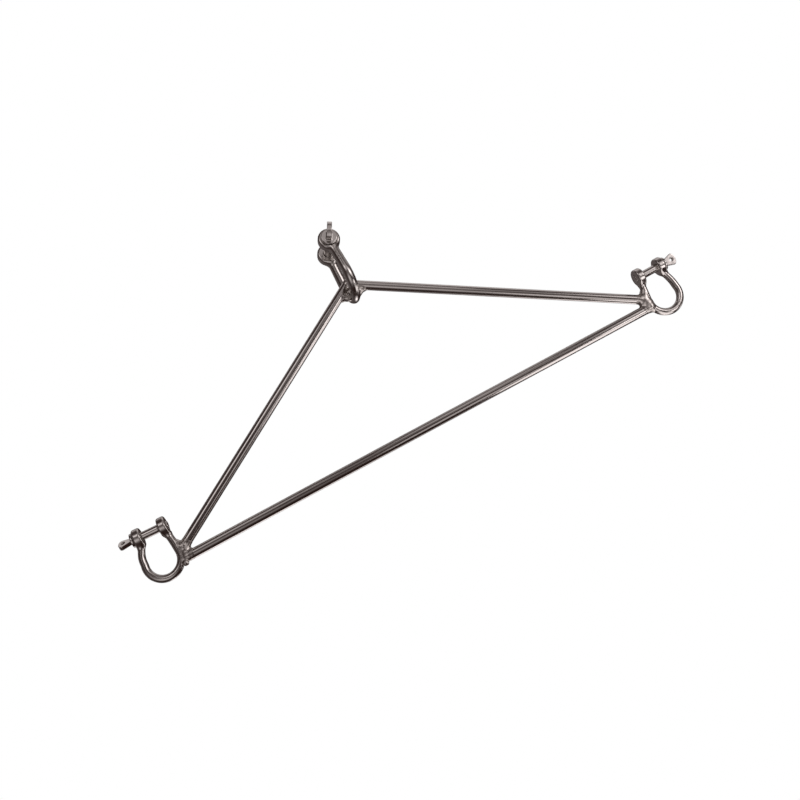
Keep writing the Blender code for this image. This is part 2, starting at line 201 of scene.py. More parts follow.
def skin(field, low, high, step):
    """Quads over the surface where a field is zero, with every corner settled on that surface."""
    low = np.array(low) - 2 * step
    counts = np.ceil((np.array(high) + 2 * step - low) / step).astype(int) + 1
    grid = np.indices(counts).reshape(3, -1).T
    batches = np.array_split(grid, len(grid) // BATCH + 1)
    values = np.concatenate([field(low + step * batch) for batch in batches]).reshape(counts)
    for axis in range(3):
        values[tuple(slice(None) if i != axis else [0, -1] for i in range(3))] = step
    total = np.zeros((*(counts - 1), 3))
    hits = np.zeros(counts - 1)
    edges = []
    for axis in range(3):
        first = values[tuple(slice(0, -1) if i == axis else slice(None) for i in range(3))]
        last = values[tuple(slice(1, None) if i == axis else slice(None) for i in range(3))]
        start = np.argwhere((first < 0) != (last < 0))
        a, b = first[tuple(start.T)], last[tuple(start.T)]
        point = start.astype(float)
        point[:, axis] += a / (a - b)
        cells = []
        for u, v in ((0, 0), (-1, 0), (-1, -1), (0, -1)):
            cell = start.copy()
            cell[:, (axis + 1) % 3] += u
            cell[:, (axis + 2) % 3] += v
            np.add.at(total, tuple(cell.T), point)
            np.add.at(hits, tuple(cell.T), 1)
            cells.append(cell)
        ring = np.stack(cells, axis=1)
        ring[a > 0] = ring[a > 0][:, ::-1]
        edges.append(ring)
    number = np.cumsum(hits.ravel() > 0).reshape(hits.shape) - 1
    used = hits > 0
    corners = low + step * total[used] / hits[used][:, None]
    quads = np.concatenate([number[tuple(np.moveaxis(ring, -1, 0))] for ring in edges])
    probe = step / 8
    shifts = np.eye(3) * probe
    for _ in range(SETTLE_ROUNDS):
        slope = np.stack([field(corners + shift) - field(corners - shift) for shift in shifts], axis=1)
        slope /= 2 * probe
        steepness = np.maximum(np.sum(slope * slope, axis=1), FLATTEST)
        move = field(corners)[:, None] * slope / steepness[:, None]
        corners -= np.clip(move, -step / 3, step / 3)
    return corners, quads


def mesh_object(name, corners, faces, matrix=Matrix.Identity(4)):
    """Mesh from corners in a matrix's frame, which its steel reads as the attribute "own"."""
    world = corners @ np.array(matrix.to_3x3()).T + np.array(matrix.translation)
    mesh = bpy.data.meshes.new(name)
    mesh.from_pydata([tuple(c) for c in world], [], [tuple(int(i) for i in f) for f in faces])
    mesh.shade_smooth()
    own = mesh.attributes.new("own", "FLOAT_VECTOR", "POINT")
    own.data.foreach_set("vector", np.asarray(corners, np.float32).ravel())
    obj = bpy.data.objects.new(name, mesh)
    bpy.context.scene.collection.objects.link(obj)
    return obj


def add_value(obj, name, values):
    """A number for each corner that the material reads by name."""
    attribute = obj.data.attributes.new(name, "FLOAT", "POINT")
    attribute.data.foreach_set("value", np.asarray(values, np.float32))


# ---------------------------------------------------------------- steels


NOISE_SPAN = (0.25, 0.75)  # most values of the noise lie in it
DARK_TONE = 0.86  # the darkest patches' share of the colour
HEAT_WOBBLE = 0.25  # how much the patches shift the edge of a heat colour
PIT_SCALE = (900, 900, 900)
PATCH_ROUGHNESS = (0.85, 1.1)  # least and most roughness of the patches, of the steel's
LINE_ROUGHNESS = (-0.03, 0.05)  # what the polish lines add to it


def steel(name, colour, roughness, scale, grain, grain_depth, pits=0.0, tint=True):
    """Stainless steel. scale is the size of its tone patches as (x, y, z) frequencies, grain the polish lines'
    frequencies, and grain_depth and pits the heights of lines and pits in metres; tint adds the heat colours
    that the mesh's corners ask for."""
    material = bpy.data.materials.new(name)
    material.use_nodes = True
    nodes, links = material.node_tree.nodes, material.node_tree.links
    shader = nodes["Principled BSDF"]
    shader.inputs["Metallic"].default_value = 1.0
    place = nodes.new("ShaderNodeAttribute")
    place.attribute_name = "own"

    def noise(frequencies, detail, rough=0.5):
        mapping = nodes.new("ShaderNodeMapping")
        mapping.inputs["Scale"].default_value = frequencies
        links.new(place.outputs["Vector"], mapping.inputs["Vector"])
        texture = nodes.new("ShaderNodeTexNoise")
        texture.inputs["Scale"].default_value = 1.0
        texture.inputs["Detail"].default_value = detail
        texture.inputs["Roughness"].default_value = rough
        links.new(mapping.outputs["Vector"], texture.inputs["Vector"])
        return texture.outputs["Fac"]

    def ramp(value, stops):
        node = nodes.new("ShaderNodeValToRGB")
        elements = node.color_ramp.elements
        while len(elements) < len(stops):
            elements.new(0.5)
        for element, (position, shade) in zip(elements, stops):
            element.position = position
            element.color = (*shade, 1.0)
        links.new(value, node.inputs["Fac"])
        return node.outputs["Color"]

    def span(value, low, high):
        node = nodes.new("ShaderNodeMapRange")
        node.inputs["From Min"].default_value, node.inputs["From Max"].default_value = NOISE_SPAN
        node.inputs["To Min"].default_value = low
        node.inputs["To Max"].default_value = high
        links.new(value, node.inputs["Value"])
        return node.outputs["Result"]

    patches = noise(scale, detail=3.0)
    lines = noise(grain, detail=4.0, rough=0.7)
    dark = tuple(c * DARK_TONE for c in colour)
    tone = ramp(patches, [(0.3, dark), (0.7, colour)])
    if tint:
        heat = nodes.new("ShaderNodeAttribute")
        heat.attribute_name = "heat"
        wobble = nodes.new("ShaderNodeMath")
        wobble.operation = "MULTIPLY_ADD"
        links.new(patches, wobble.inputs[0])
        wobble.inputs[1].default_value = HEAT_WOBBLE
        links.new(heat.outputs["Fac"], wobble.inputs[2])
        colours = ramp(wobble.outputs["Value"], HEAT_COLOURS)
        mix = nodes.new("ShaderNodeMix")
        mix.data_type = "RGBA"
        mix.blend_type = "MULTIPLY"
        mix.inputs["Factor"].default_value = 1.0
        links.new(tone, mix.inputs["A"])
        links.new(colours, mix.inputs["B"])
        tone = mix.outputs["Result"]
    links.new(tone, shader.inputs["Base Color"])
    add = nodes.new("ShaderNodeMath")
    add.operation = "ADD"
    links.new(span(patches, *(roughness * share for share in PATCH_ROUGHNESS)), add.inputs[0])
    links.new(span(lines, *LINE_ROUGHNESS), add.inputs[1])
    links.new(add.outputs["Value"], shader.inputs["Roughness"])
    bump = nodes.new("ShaderNodeBump")
    bump.inputs["Strength"].default_value = 1.0
    bump.inputs["Distance"].default_value = grain_depth
    links.new(lines, bump.inputs["Height"])
    if pits:
        dents = nodes.new("ShaderNodeBump")
        dents.inputs["Strength"].default_value = 1.0
        dents.inputs["Distance"].default_value = pits
        links.new(noise(PIT_SCALE, detail=2.0), dents.inputs["Height"])
        links.new(dents.outputs["Normal"], bump.inputs["Normal"])
    links.new(bump.outputs["Normal"], shader.inputs["Normal"])
    return material


# Multiplies the steel's colour by how hot it got in welding: untouched, straw, brown, violet, blue-grey, scale
HEAT_COLOURS = [
    (0.20, (1.0, 1.0, 1.0)),
    (0.38, (1.0, 0.93, 0.80)),
    (0.55, (0.88, 0.74, 0.60)),
    (0.70, (0.68, 0.58, 0.60)),
    (0.85, (0.58, 0.57, 0.62)),
    (1.00, (0.60, 0.56, 0.53)),
]

bar_steel = steel("drawn_steel", (0.62, 0.59, 0.56), 0.15, (60, 60, 9), (2600, 2600, 30), 0.00001)
bow_steel = steel("forged_steel", (0.60, 0.57, 0.54), 0.19, (90, 90, 90), (700, 700, 700), 0.00002, 0.00001)
pin_steel = steel("turned_steel", (0.66, 0.63, 0.60), 0.14, (120, 120, 60), (300, 300, 6000), 0.00001, tint=False)
weld_steel = steel("weld_steel", (0.58, 0.545, 0.51), 0.26, (160, 160, 160), (900, 900, 900), 0.00001, 0.000006)


def finish_piece(obj, body, material, nodes):
    """Give a piece its steel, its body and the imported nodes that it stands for."""
    obj.data.materials.append(material)
    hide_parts(*nodes)
    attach(obj, body)
    return obj


# ---------------------------------------------------------------- shackle bows


def bow_line(size, sway, points):
    """Distance from a bow's centreline, and how far up a leg its nearest point lies, from 0 to 1 at the ear."""
    to_ear = math.hypot(size.half_jaw, size.reach)
    start = math.atan2(size.reach, size.half_jaw) - math.acos(size.bow_r / to_ear)
    foot = size.bow_r * np.array([math.cos(start), math.sin(start)])
    leg = np.array([size.half_jaw, size.reach]) - foot
    plan = np.stack([np.abs(points[:, 0]), points[:, 2]], axis=1)
    rise = np.clip((plan - foot) @ leg / (leg @ leg), 0, 1)
    outward = np.array([leg[1], -leg[0]]) / np.linalg.norm(leg)
    swing = np.where(points[:, 0] < 0, *sway) * size.bow_r * np.sin(2 * math.pi * rise)
    from_leg = length(plan - foot - rise[:, None] * leg - swing[:, None] * outward)
    from_arc = np.abs(length(plan) - size.bow_r)
    round_part = np.arctan2(plan[:, 1], plan[:, 0]) <= start
    flat = np.where(round_part, np.minimum(from_arc, from_leg), from_leg)
    return np.hypot(flat, points[:, 1]), np.where(round_part, 0.0, rise)


def bow_rod(size, sway, points):
    """The bow's bare round bar, without its ears."""
    distance, rise = bow_line(size, sway, points)
    return distance - size.rod_r * (1 - (1 - LEG_TAPER) * rise)


EAR_FILLET = 5.0 * MM  # blend of an ear into its leg
EAR_ROUND = 0.5  # rounding of an ear's rims, of its half thickness
BORE_BREAK = 0.5 * MM  # broken edge of the pin's bore
BORE_CLEARANCE = 0.15 * MM
PART_LINE = 0.06 * MM  # height of the forging's parting line
PART_LINE_WIDTH = 0.5 * MM
LUMP, LUMP_HEIGHT = 7.0 * MM, 0.06 * MM  # the forging's lumps, and finer ones on them
FINE_LUMP, FINE_LUMP_HEIGHT = 2.2 * MM, 0.02 * MM
SMOOTH_EAR = 0.15  # share of the lumps that is left round the pin's collar
EASE = 2.0 * MM  # over which the lumps fade in
SEAT_MARGIN = 0.5 * MM  # how far the milled seat round a bore runs past the pin's collar
SEAT_DEPTH = 0.28 * MM
SEAT_BREAK = 0.15 * MM
WORN = 0.18 * MM  # what the finish takes off the forging, which leaves room for its lumps


def bow_field(size, sway, seed):
    """A forged bow in its own frame, with an ear on each leg, bored and seated for the pin."""

    def field(points):
        body = bow_rod(size, sway, points)
        for side in (-1, 1):
            offset = points - np.array([side * size.half_jaw, 0, size.reach])
            rho = np.hypot(offset[:, 1], offset[:, 2])
            ear = disc(rho, offset[:, 0], size.ear_r, size.ear_half, size.ear_half * EAR_ROUND)
            body = blend(body, ear, EAR_FILLET)
        rho = np.hypot(points[:, 1], points[:, 2] - size.reach)
        outward = np.abs(points[:, 0])
        body = body + WORN - PART_LINE * np.exp(-((points[:, 1] / PART_LINE_WIDTH) ** 2))
        hammered = LUMP_HEIGHT * lumps(points, LUMP, seed)
        hammered += FINE_LUMP_HEIGHT * lumps(points, FINE_LUMP, seed + 1)
        body = body + hammered * np.clip((rho - size.collar_r) / EASE, SMOOTH_EAR, 1)
        seat = rho - size.collar_r - SEAT_MARGIN
        face = size.ear_half - SEAT_DEPTH
        outer = np.maximum(seat, size.half_jaw + face - outward)
        inner = np.maximum(seat, outward - size.half_jaw + face)
        body = carve(carve(body, outer, SEAT_BREAK), inner, SEAT_BREAK)
        return carve(body, rho - size.pin_r - BORE_CLEARANCE, BORE_BREAK)

    return field


def heat_near(matrix, corners, sources, reach):
    """From 1 at a weld to 0 at reach from it, for corners in a matrix's frame."""
    world = corners @ np.array(matrix.to_3x3()).T + np.array(matrix.translation)
    nearest = np.min([length(world - np.array(source)) for source in sources], axis=0)
    return np.clip(1 - nearest / reach, 0, 1)


BOW_HEAT = 0.75  # heat of a bow at its weld, where a bar's is 1
BOW_HEAT_REACH = 26 * MM
END_BOW_STEP, HOIST_BOW_STEP = 0.45 * MM, 0.55 * MM


def make_bow(name, node, size, setting, matrix, seed, step, hot):
    """A shackle's bow, with heat round the hot places where it was welded."""
    side = size.half_jaw + size.ear_half + 2 * SPARE
    wide = max(side, size.bow_r + size.rod_r + SPARE)
    deep = size.ear_r + SPARE
    low = (-wide, -deep, -size.bow_r - size.rod_r - SPARE)
    high = (wide, deep, size.reach + size.ear_r + SPARE)
    corners, quads = skin(bow_field(size, setting.sway, seed), low, high, step)
    obj = mesh_object(name, corners, quads, matrix)
    add_value(obj, "heat", BOW_HEAT * heat_near(matrix, corners, hot, BOW_HEAT_REACH))
    return finish_piece(obj, "frame", bow_steel, [node])


# ---------------------------------------------------------------- screw pins

COLLAR_GAP = 0.3 * MM  # between the collar and the ear
COLLAR_ROUND = 0.32  # rounding of the collar's rims, of its thickness
COLLAR_ROOT = 0.25 * MM
NECK_SHARE = 0.46  # half width of the eye where it leaves the collar, of the collar's radius
HOLE_SHIFT = 0.2  # how far the eye's hole lies past its middle, of its half width
HOLE_SHARE = 0.72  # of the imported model's radius, inside the broken edges
HOLE_BREAK = 1.4 * MM
EYE_SHOULDER = 0.42  # from the eye's far end back to its widest, of its half width
EYE_SHORT = 0.2 * MM
EYE_EDGE = 0.6 * MM  # rounding of the eye's edges
EYE_ROOT = 1.4 * MM  # fillet between the eye and the collar
THREAD_DEPTH = 0.58  # of the pitch
THREAD_FLANK, THREAD_CREST = 1.25, 0.12  # steepness of its sides, and the flat left on its tops
THREAD_PAST = 1.5 * MM  # how far it runs into the jaw
POINT_CHAMFER = 1.2 * MM
EVEN_OUT = 0.7  # brings a slanting face's slope back to about one
END_PIN_STEP, HOIST_PIN_STEP = 0.28 * MM, 0.33 * MM
FORGED, FORGED_HEIGHT = 3.5 * MM, 0.05 * MM  # lumps on the collar and the eye


def pin_field(size, eye_corner, seed):
    """A screw pin along Z: its threaded point, shank, collar and the flat eye with its hole."""
    ear_face = size.half_jaw + size.ear_half
    collar_at = ear_face + COLLAR_GAP
    top = collar_at + size.collar_t
    point = -(ear_face + size.tip)
    thread_end = -(size.half_jaw - size.ear_half) + THREAD_PAST
    eye_at = ear_face + size.eye_reach - size.eye_r
    hole_at = eye_at + HOLE_SHIFT * size.eye_r
    end = ear_face + size.eye_reach - EYE_SHORT
    shoulder = EYE_SHOULDER * size.eye_r
    crown_r = (size.eye_r**2 + shoulder**2) / (2 * shoulder)
    neck = size.collar_r * NECK_SHARE
    slope = (size.eye_r - neck) / (end - shoulder - top)
    flare = 1 / math.hypot(1, slope)

    def crown(x, z):
        """The eye's far end, a round arc between its two widest corners."""
        return np.hypot(x, z - end + crown_r) - crown_r

    def field(points):
        x, y, z = points.T
        rho = np.hypot(x, y)
        turn = np.arctan2(y, x) / (2 * math.pi)
        wave = np.abs(((z / size.pitch - turn) % 1.0) * 2 - 1)
        groove = np.clip(wave * THREAD_FLANK - THREAD_CREST, 0, 1) * size.pitch * THREAD_DEPTH
        fade = np.clip((thread_end - z) / size.pitch, 0, 1)
        shank = (rho - size.pin_r + groove * fade) * np.where(fade > 0, EVEN_OUT, 1.0)
        shank = np.maximum(shank, (rho - z + point - size.pin_r + POINT_CHAMFER) * EVEN_OUT)
        shank = np.maximum(shank, np.maximum(point - z, z - top))
        mid = (collar_at + top) / 2
        collar = disc(rho, z - mid, size.collar_r, size.collar_t / 2, size.collar_t * COLLAR_ROUND)
        body = blend(shank, collar, COLLAR_ROOT)
        sides = flare * (np.abs(x) - neck - (z - top) * slope)
        outline = np.maximum(carve(sides, -crown(x, z), eye_corner), collar_at - z)
        out = np.stack([outline, np.abs(y) - size.eye_half], axis=-1) + EYE_EDGE
        eye = length(np.maximum(out, 0)) + np.minimum(out.max(axis=-1), 0) - EYE_EDGE
        eye = carve(eye, np.hypot(x, z - hole_at) - HOLE_SHARE * size.eye_hole_r, HOLE_BREAK)
        body = blend(body, eye, EYE_ROOT)
        rough = np.clip((z - ear_face) / EASE, 0, 1)
        return body + rough * FORGED_HEIGHT * lumps(points, FORGED, seed)

    return field


def make_pin(name, node, body, size, setting, matrix, head, seed, step):
    """A shackle's screw pin, its head on the local +X side for a head of 1 and on the -X side for -1."""
    place = pin_matrix(setting, size, matrix, head)
    reach = size.half_jaw + size.ear_half
    wide = max(size.collar_r, size.eye_r) + SPARE
    low = (-wide, -size.collar_r - SPARE, -reach - size.tip - SPARE)
    high = (wide, size.collar_r + SPARE, reach + size.eye_reach + SPARE)
    corners, quads = skin(pin_field(size, setting.eye_corner, seed), low, high, step)
    obj = mesh_object(name, corners, quads, place)
    return finish_piece(obj, body, pin_steel, [node])


# ---------------------------------------------------------------- bars

BAR_RING = 80  # corners round a bar
BAR_STEP = 3.0 * MM
WAVE, WAVE_HEIGHT = 3.0 * MM, 0.035 * MM  # the drawn surface's waviness across the bar
WAVE_STRETCH = (1, 1, 0.12)
DING, DING_DEPTH = 4.0 * MM, 0.05 * MM
DING_STRETCH = (1, 1, 0.6)
DING_RARE = 0.45  # noise under it leaves no ding
BAR_HEAT_REACH = 34 * MM
SHARP = math.radians(50)


def make_bar(name, node, start, end, hot, seed):
    """Drawn round bar with square ends."""
    span = (end - start).length
    place = along(end - start, start)
    rings = int(span / BAR_STEP)
    angles = 2 * math.pi * np.arange(BAR_RING) / BAR_RING
    rows = []
    for i in range(rings + 1):
        height = np.full(BAR_RING, span * (i / rings))
        rows.append(np.stack([BAR_R * np.cos(angles), BAR_R * np.sin(angles), height], axis=1))
    corners = np.concatenate(rows)
    wave = WAVE_HEIGHT * lumps(corners * WAVE_STRETCH, WAVE, seed)
    ding = DING_DEPTH * np.maximum(lumps(corners * DING_STRETCH, DING, seed + 1) - DING_RARE, 0)
    scale = 1 + (wave - ding) / BAR_R
    corners[:, :2] *= scale[:, None]
    faces = []
    for i in range(rings):
        for j in range(BAR_RING):
            k = (j + 1) % BAR_RING
            low, high = i * BAR_RING, (i + 1) * BAR_RING
            faces.append((low + j, low + k, high + k, high + j))
    for first, way in ((0, -1), (rings * BAR_RING, 1)):
        ring = list(range(first, first + BAR_RING))
        faces.append(tuple(ring[::way]))
    obj = mesh_object(name, corners, faces, place)
    add_value(obj, "heat", heat_near(place, corners, hot, BAR_HEAT_REACH))
    obj.data.set_sharp_from_angle(angle=SHARP)
    return finish_piece(obj, "frame", bar_steel, [node])


# ---------------------------------------------------------------- welds

SHY = 0.3 * MM  # how far a weld's skin lies under the pieces' own, so that it shows only where metal was laid
UNEVEN, UNEVEN_SHARE = 6.0 * MM, 0.65  # lumps that change that depth, and by what share
TOE = 4.0 * MM  # over which a weld sinks under the surface at its rim
SINK = 0.7 * MM
PROUD = 1.2 * MM  # how far metal stands out of the corner between its pieces where its ripples are full
RIPPLE, FINE_RIPPLE, FINE_SHARE = 5.5 * MM, 2.2 * MM, 0.16
WELD_HEAT, PATCH_HEAT, HEAT_PATCH = 0.35, 0.4, 5.0 * MM  # a weld's least heat, and what its hottest patches add
WELD_STEP, SEAM_STEP = 0.4 * MM, 0.35 * MM


def weld(name, nodes, centre, reach, pieces, metal, style, step):
    """A weld: the fillets between the pieces that it joins and the metal laid on them, within an ellipsoid. All
    of these are fields, and style gives the fillets' size and the roughness of the hand that laid them."""

    def field(points):
        bare = [piece(points) for piece in pieces]
        body = blend(join(bare, style.fillet), metal(points), style.melt)
        proud = np.clip((join(bare, style.fillet / 2) - body) / PROUD, 0, 1)
        proud = proud * proud * (3 - 2 * proud)
        ripples = lumps(points, RIPPLE, style.seed)
        ripples += FINE_SHARE * lumps(points, FINE_RIPPLE, style.seed + 1)
        rim = ball(points, centre, reach)
        sunk = np.clip(1 + rim / TOE, 0, 1)
        shy = SHY * (1 + UNEVEN_SHARE * lumps(points, UNEVEN, style.seed + 3))
        return np.maximum(body + style.rough * proud * ripples + shy + SINK * sunk * sunk, rim)

    corners, quads = skin(field, np.array(centre) - reach, np.array(centre) + reach, step)
    obj = mesh_object(name, corners, quads)
    patches = np.abs(lumps(corners, HEAT_PATCH, style.seed + 2))
    add_value(obj, "heat", WELD_HEAT + PATCH_HEAT * patches)
    return finish_piece(obj, "frame", weld_steel, nodes)


def foot(corner, towards, reach):
    """Where a bar's square end lies, reach from its corner."""
    return corner + (towards - corner).normalized() * reach


def foot_reach(node, corner, towards):
    """How far from its corner a packed bar starts."""
    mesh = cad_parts[node].data
    way = (towards - corner).normalized()
    return min((v.co - corner).dot(way) for v in mesh.vertices)


LEFT_FOOT_BASE = foot(LEFT_CORNER, RIGHT_CORNER, foot_reach("base_bar", LEFT_CORNER, RIGHT_CORNER))
RIGHT_FOOT_BASE = foot(RIGHT_CORNER, LEFT_CORNER, foot_reach("base_bar", RIGHT_CORNER, LEFT_CORNER))
LEFT_FOOT_SIDE = foot(LEFT_CORNER, APEX, foot_reach("left_side_bar", LEFT_CORNER, APEX))
RIGHT_FOOT_SIDE = foot(RIGHT_CORNER, APEX, foot_reach("right_side_bar", RIGHT_CORNER, APEX))


def bar_piece(start, end):
    """A bar with round ends, so that no rim shows through the fillets laid over it."""
    inset = (end - start).normalized() * BAR_R / 2
    return lambda points: capsule(points, start + inset, end, BAR_R, BAR_R)


def bow_piece(size, setting, matrix):
    """A bow's round bar as its looks leave it."""
    return lambda points: bow_rod(size, setting.sway, local(matrix, points)) + WORN


# Metal laid at the lower corners: a web between the two bars and a fillet up the bow's leg, both placed from the
# corner with X inward, and a bead round each bar's end
WEB_AT = (19.5 * MM, 0, 6.2 * MM)
WEB_RADII = (8.0 * MM, 5.0 * MM, 3.8 * MM)
LEG_FILLET_AT = (16.5 * MM, 0, 19.0 * MM)
LEG_FILLET_RADII = (4.6 * MM, 4.2 * MM, 4.8 * MM)
DRIP_AT = Vector((-4.0 * MM, -4.2 * MM, -6.2 * MM))  # from the base bar's end
DRIP_R = 4.2 * MM
DRIP_ROOT = 0.8 * MM  # fillet round the drop
BACK = 3.0 * MM  # how far a bead wraps back from a bar's end
RUN = 5.2 * MM  # how far it runs along the bar
MELT = 4.0 * MM  # fillet between the runs of metal
CORNER_AT = (12.0 * MM, 0, 7.0 * MM)  # ellipsoid that holds a corner's weld, placed as the web is
CORNER_REACH = np.array([27.0 * MM, 15.0 * MM, 27.0 * MM])


def corner_weld(label, setting, matrix, corner, far, base_foot, side_foot, style):
    """All the weld metal of a lower corner, where the two bars meet the end shackle's bow."""
    inward = np.array([1 if far.x > corner.x else -1, 1, 1])
    beads = []
    for end, towards in ((base_foot, far), (side_foot, APEX)):
        way = (towards - corner).normalized()
        beads.append((end - way * BACK, end + way * RUN))
    web = np.array(corner) + inward * WEB_AT
    leg = np.array(corner) + inward * LEG_FILLET_AT

    def metal(points):
        laid = [capsule(points, start, end, style.root_r, style.toe_r) for start, end in beads]
        laid += [ball(points, web, WEB_RADII), ball(points, leg, LEG_FILLET_RADII)]
        body = join(laid, MELT)
        if style.drip:
            body = blend(body, ball(points, base_foot + DRIP_AT, (DRIP_R,) * 3), DRIP_ROOT)
        return body

    pieces = [
        bow_piece(END_SIZE, setting, matrix),
        bar_piece(base_foot, far),
        bar_piece(side_foot, APEX),
    ]
    centre = np.array(corner) + inward * CORNER_AT
    nodes = [f"{label}_side_weld", f"{label}_base_weld"]
    weld(f"{label}_corner_weld", nodes, centre, CORNER_REACH, pieces, metal, style, WELD_STEP)


# Metal laid under each side bar at the apex, and against the hoist bow's crown: outward and down from the apex
FILLET_OUT = 12.5 * MM
FILLET_DOWN = 14.2 * MM
FILLET_RADII = (6.0 * MM, 5.0 * MM, 3.8 * MM)
CROWN_OUT = 7.5 * MM
CROWN_DOWN = 17.0 * MM
CROWN_RADII = (4.6 * MM, 4.4 * MM, 4.2 * MM)
FILLET_REACH = np.array([14.0 * MM, 12.0 * MM, 14.0 * MM])
HEAT_DOWN = 13.7 * MM  # hottest place of the hoist bow, as far out as the fillet


def hoist_weld(label, side, foot_at, style):
    """Fillet from a side bar's underside to the hoist bow."""
    middle = APEX + Vector((side * FILLET_OUT, 0, -FILLET_DOWN))
    turn = Matrix.Translation(middle) @ Matrix.Rotation(side * SLANT, 4, "Y")
    pieces = [bow_piece(HOIST_SIZE, HOIST_SET, HOIST), bar_piece(foot_at, APEX)]
    crown = APEX + Vector((side * CROWN_OUT, 0, -CROWN_DOWN))

    def metal(points):
        under_bar = ball(local(turn, points), (0, 0, 0), FILLET_RADII)
        return blend(under_bar, ball(points, crown, CROWN_RADII), MELT)

    nodes = [f"hoist_{label}_weld"]
    weld(f"hoist_{label}_fillet", nodes, np.array(middle), FILLET_REACH, pieces, metal, style, WELD_STEP)


SEAM_R = 1.5 * MM
SEAM_PUDDLES = 26
SEAM_MELT = 0.8 * MM  # fillet between its puddles
SEAM_REACH = np.array([7.0 * MM, 13.0 * MM, 13.0 * MM])


def apex_seam(style):
    """Bead round the mitre between the side bars."""
    stretch = 1 / math.cos(SLANT)
    turns = [2 * math.pi * i / SEAM_PUDDLES for i in range(SEAM_PUDDLES)]
    ring = BAR_R - SEAM_R / 2
    path = [np.array(APEX) + (0, ring * math.sin(a), ring * stretch * math.cos(a)) for a in turns]
    pieces = [bar_piece(foot_at, APEX) for foot_at in (LEFT_FOOT_SIDE, RIGHT_FOOT_SIDE)]

    def metal(points):
        return join([length(points - at) - SEAM_R for at in path], SEAM_MELT)

    weld("apex_seam", ["apex_weld"], np.array(APEX), SEAM_REACH, pieces, metal, style, SEAM_STEP)


# How each weld was laid: fillet and melt are the blends between its pieces and with its metal, rough is the
# height of its ripples, and root_r and toe_r are a bead's radii at the bar's end and where it runs out
ROUGH_HAND = SimpleNamespace(
    seed=11, fillet=4.0 * MM, melt=3.0 * MM, rough=0.75 * MM, root_r=7.0 * MM, toe_r=5.6 * MM, drip=True)
SMOOTH_HAND = SimpleNamespace(
    seed=31, fillet=8.0 * MM, melt=4.0 * MM, rough=0.22 * MM, root_r=5.8 * MM, toe_r=4.6 * MM, drip=False)
LEFT_FILLET = SimpleNamespace(seed=51, fillet=6.0 * MM, melt=3.0 * MM, rough=0.45 * MM)
RIGHT_FILLET = SimpleNamespace(seed=61, fillet=8.0 * MM, melt=4.0 * MM, rough=0.3 * MM)
SEAM = SimpleNamespace(seed=71, fillet=2.0 * MM, melt=1.0 * MM, rough=0.15 * MM)

left_hot = [LEFT_FOOT_BASE, LEFT_FOOT_SIDE]
right_hot = [RIGHT_FOOT_BASE, RIGHT_FOOT_SIDE]
hoist_hot = [APEX + Vector((side * FILLET_OUT, 0, -HEAT_DOWN)) for side in (-1, 1)]

make_bow("left_bow", "left_shackle_bow", END_SIZE, LEFT_SET, LEFT, 1, END_BOW_STEP, left_hot)
make_bow("right_bow", "right_shackle_bow", END_SIZE, RIGHT_SET, RIGHT, 3, END_BOW_STEP, right_hot)
make_bow("hoist_bow", "hoist_shackle_bow", HOIST_SIZE, HOIST_SET, HOIST, 5, HOIST_BOW_STEP, hoist_hot)
make_pin("left_screw_pin", "left_shackle_pin", "left_pin", END_SIZE, LEFT_SET, LEFT, -1, 7, END_PIN_STEP)
make_pin("right_screw_pin", "right_shackle_pin", "right_pin", END_SIZE, RIGHT_SET, RIGHT, 1, 8, END_PIN_STEP)
make_pin("hoist_screw_pin", "hoist_shackle_pin", "hoist_pin", HOIST_SIZE, HOIST_SET, HOIST, 1, 9, HOIST_PIN_STEP)

make_bar("base_round_bar", "base_bar", LEFT_FOOT_BASE, RIGHT_FOOT_BASE, left_hot + right_hot, 21)
make_bar("left_round_bar", "left_side_bar", LEFT_FOOT_SIDE, APEX, left_hot + [APEX], 22)
make_bar("right_round_bar", "right_side_bar", RIGHT_FOOT_SIDE, APEX, right_hot + [APEX], 23)

corner_weld("left", LEFT_SET, LEFT, LEFT_CORNER, RIGHT_CORNER, LEFT_FOOT_BASE, LEFT_FOOT_SIDE, ROUGH_HAND)
corner_weld("right", RIGHT_SET, RIGHT, RIGHT_CORNER, LEFT_CORNER, RIGHT_FOOT_BASE, RIGHT_FOOT_SIDE, SMOOTH_HAND)
hoist_weld("left", -1, LEFT_FOOT_SIDE, LEFT_FILLET)
hoist_weld("right", 1, RIGHT_FOOT_SIDE, RIGHT_FILLET)
apex_seam(SEAM)

# ---------------------------------------------------------------- camera, light and floor

camera_data = bpy.data.cameras.new("camera")
camera_data.lens = 43.5
camera_data.sensor_width = 36.0
camera = bpy.data.objects.new("camera", camera_data)
camera.location = (-0.2038, -1.15227, -0.43321)
camera.rotation_euler = Euler([math.radians(a) for a in (101.999, 29.0939, -3.3116)])
bpy.context.scene.collection.objects.link(camera)
bpy.context.scene.camera = camera
bpy.context.scene.view_settings.view_transform = "Standard"


def softball(name, place, radius, radiance):
    """Round soft lamp of the given radiance that hangs near the beam."""
    data = bpy.data.lights.new(name, "POINT")
    data.shadow_soft_size = radius
    data.use_soft_falloff = False
    data.energy = radiance * (2 * math.pi * radius) ** 2
    data.color = LIGHT_TINT
    lamp = bpy.data.objects.new(name, data)
    lamp.location = place
    lamp.visible_camera = False
    bpy.context.scene.collection.objects.link(lamp)


# Large soft lights of the studio, far from the beam: azimuth and elevation in degrees, softness in degrees
# and radiance
STUDIO = (
    (-48, 3, 12, 3.2),
    (-106, 29, 11, 1.4),
    (-117, -23, 20, 0.85),
    (140, 13, 45, 0.16),
    (94, -45, 12, 2.6),
    (18, -36, 12, 1.6),
    (24, 52, 28, 0.8),
    (108, 63, 12, 0.55),
)
LIGHT_TINT = (1.0, 0.95, 0.965)
ROOM = (0.026, 0.012, 0.010)  # the dark warm room between the lights


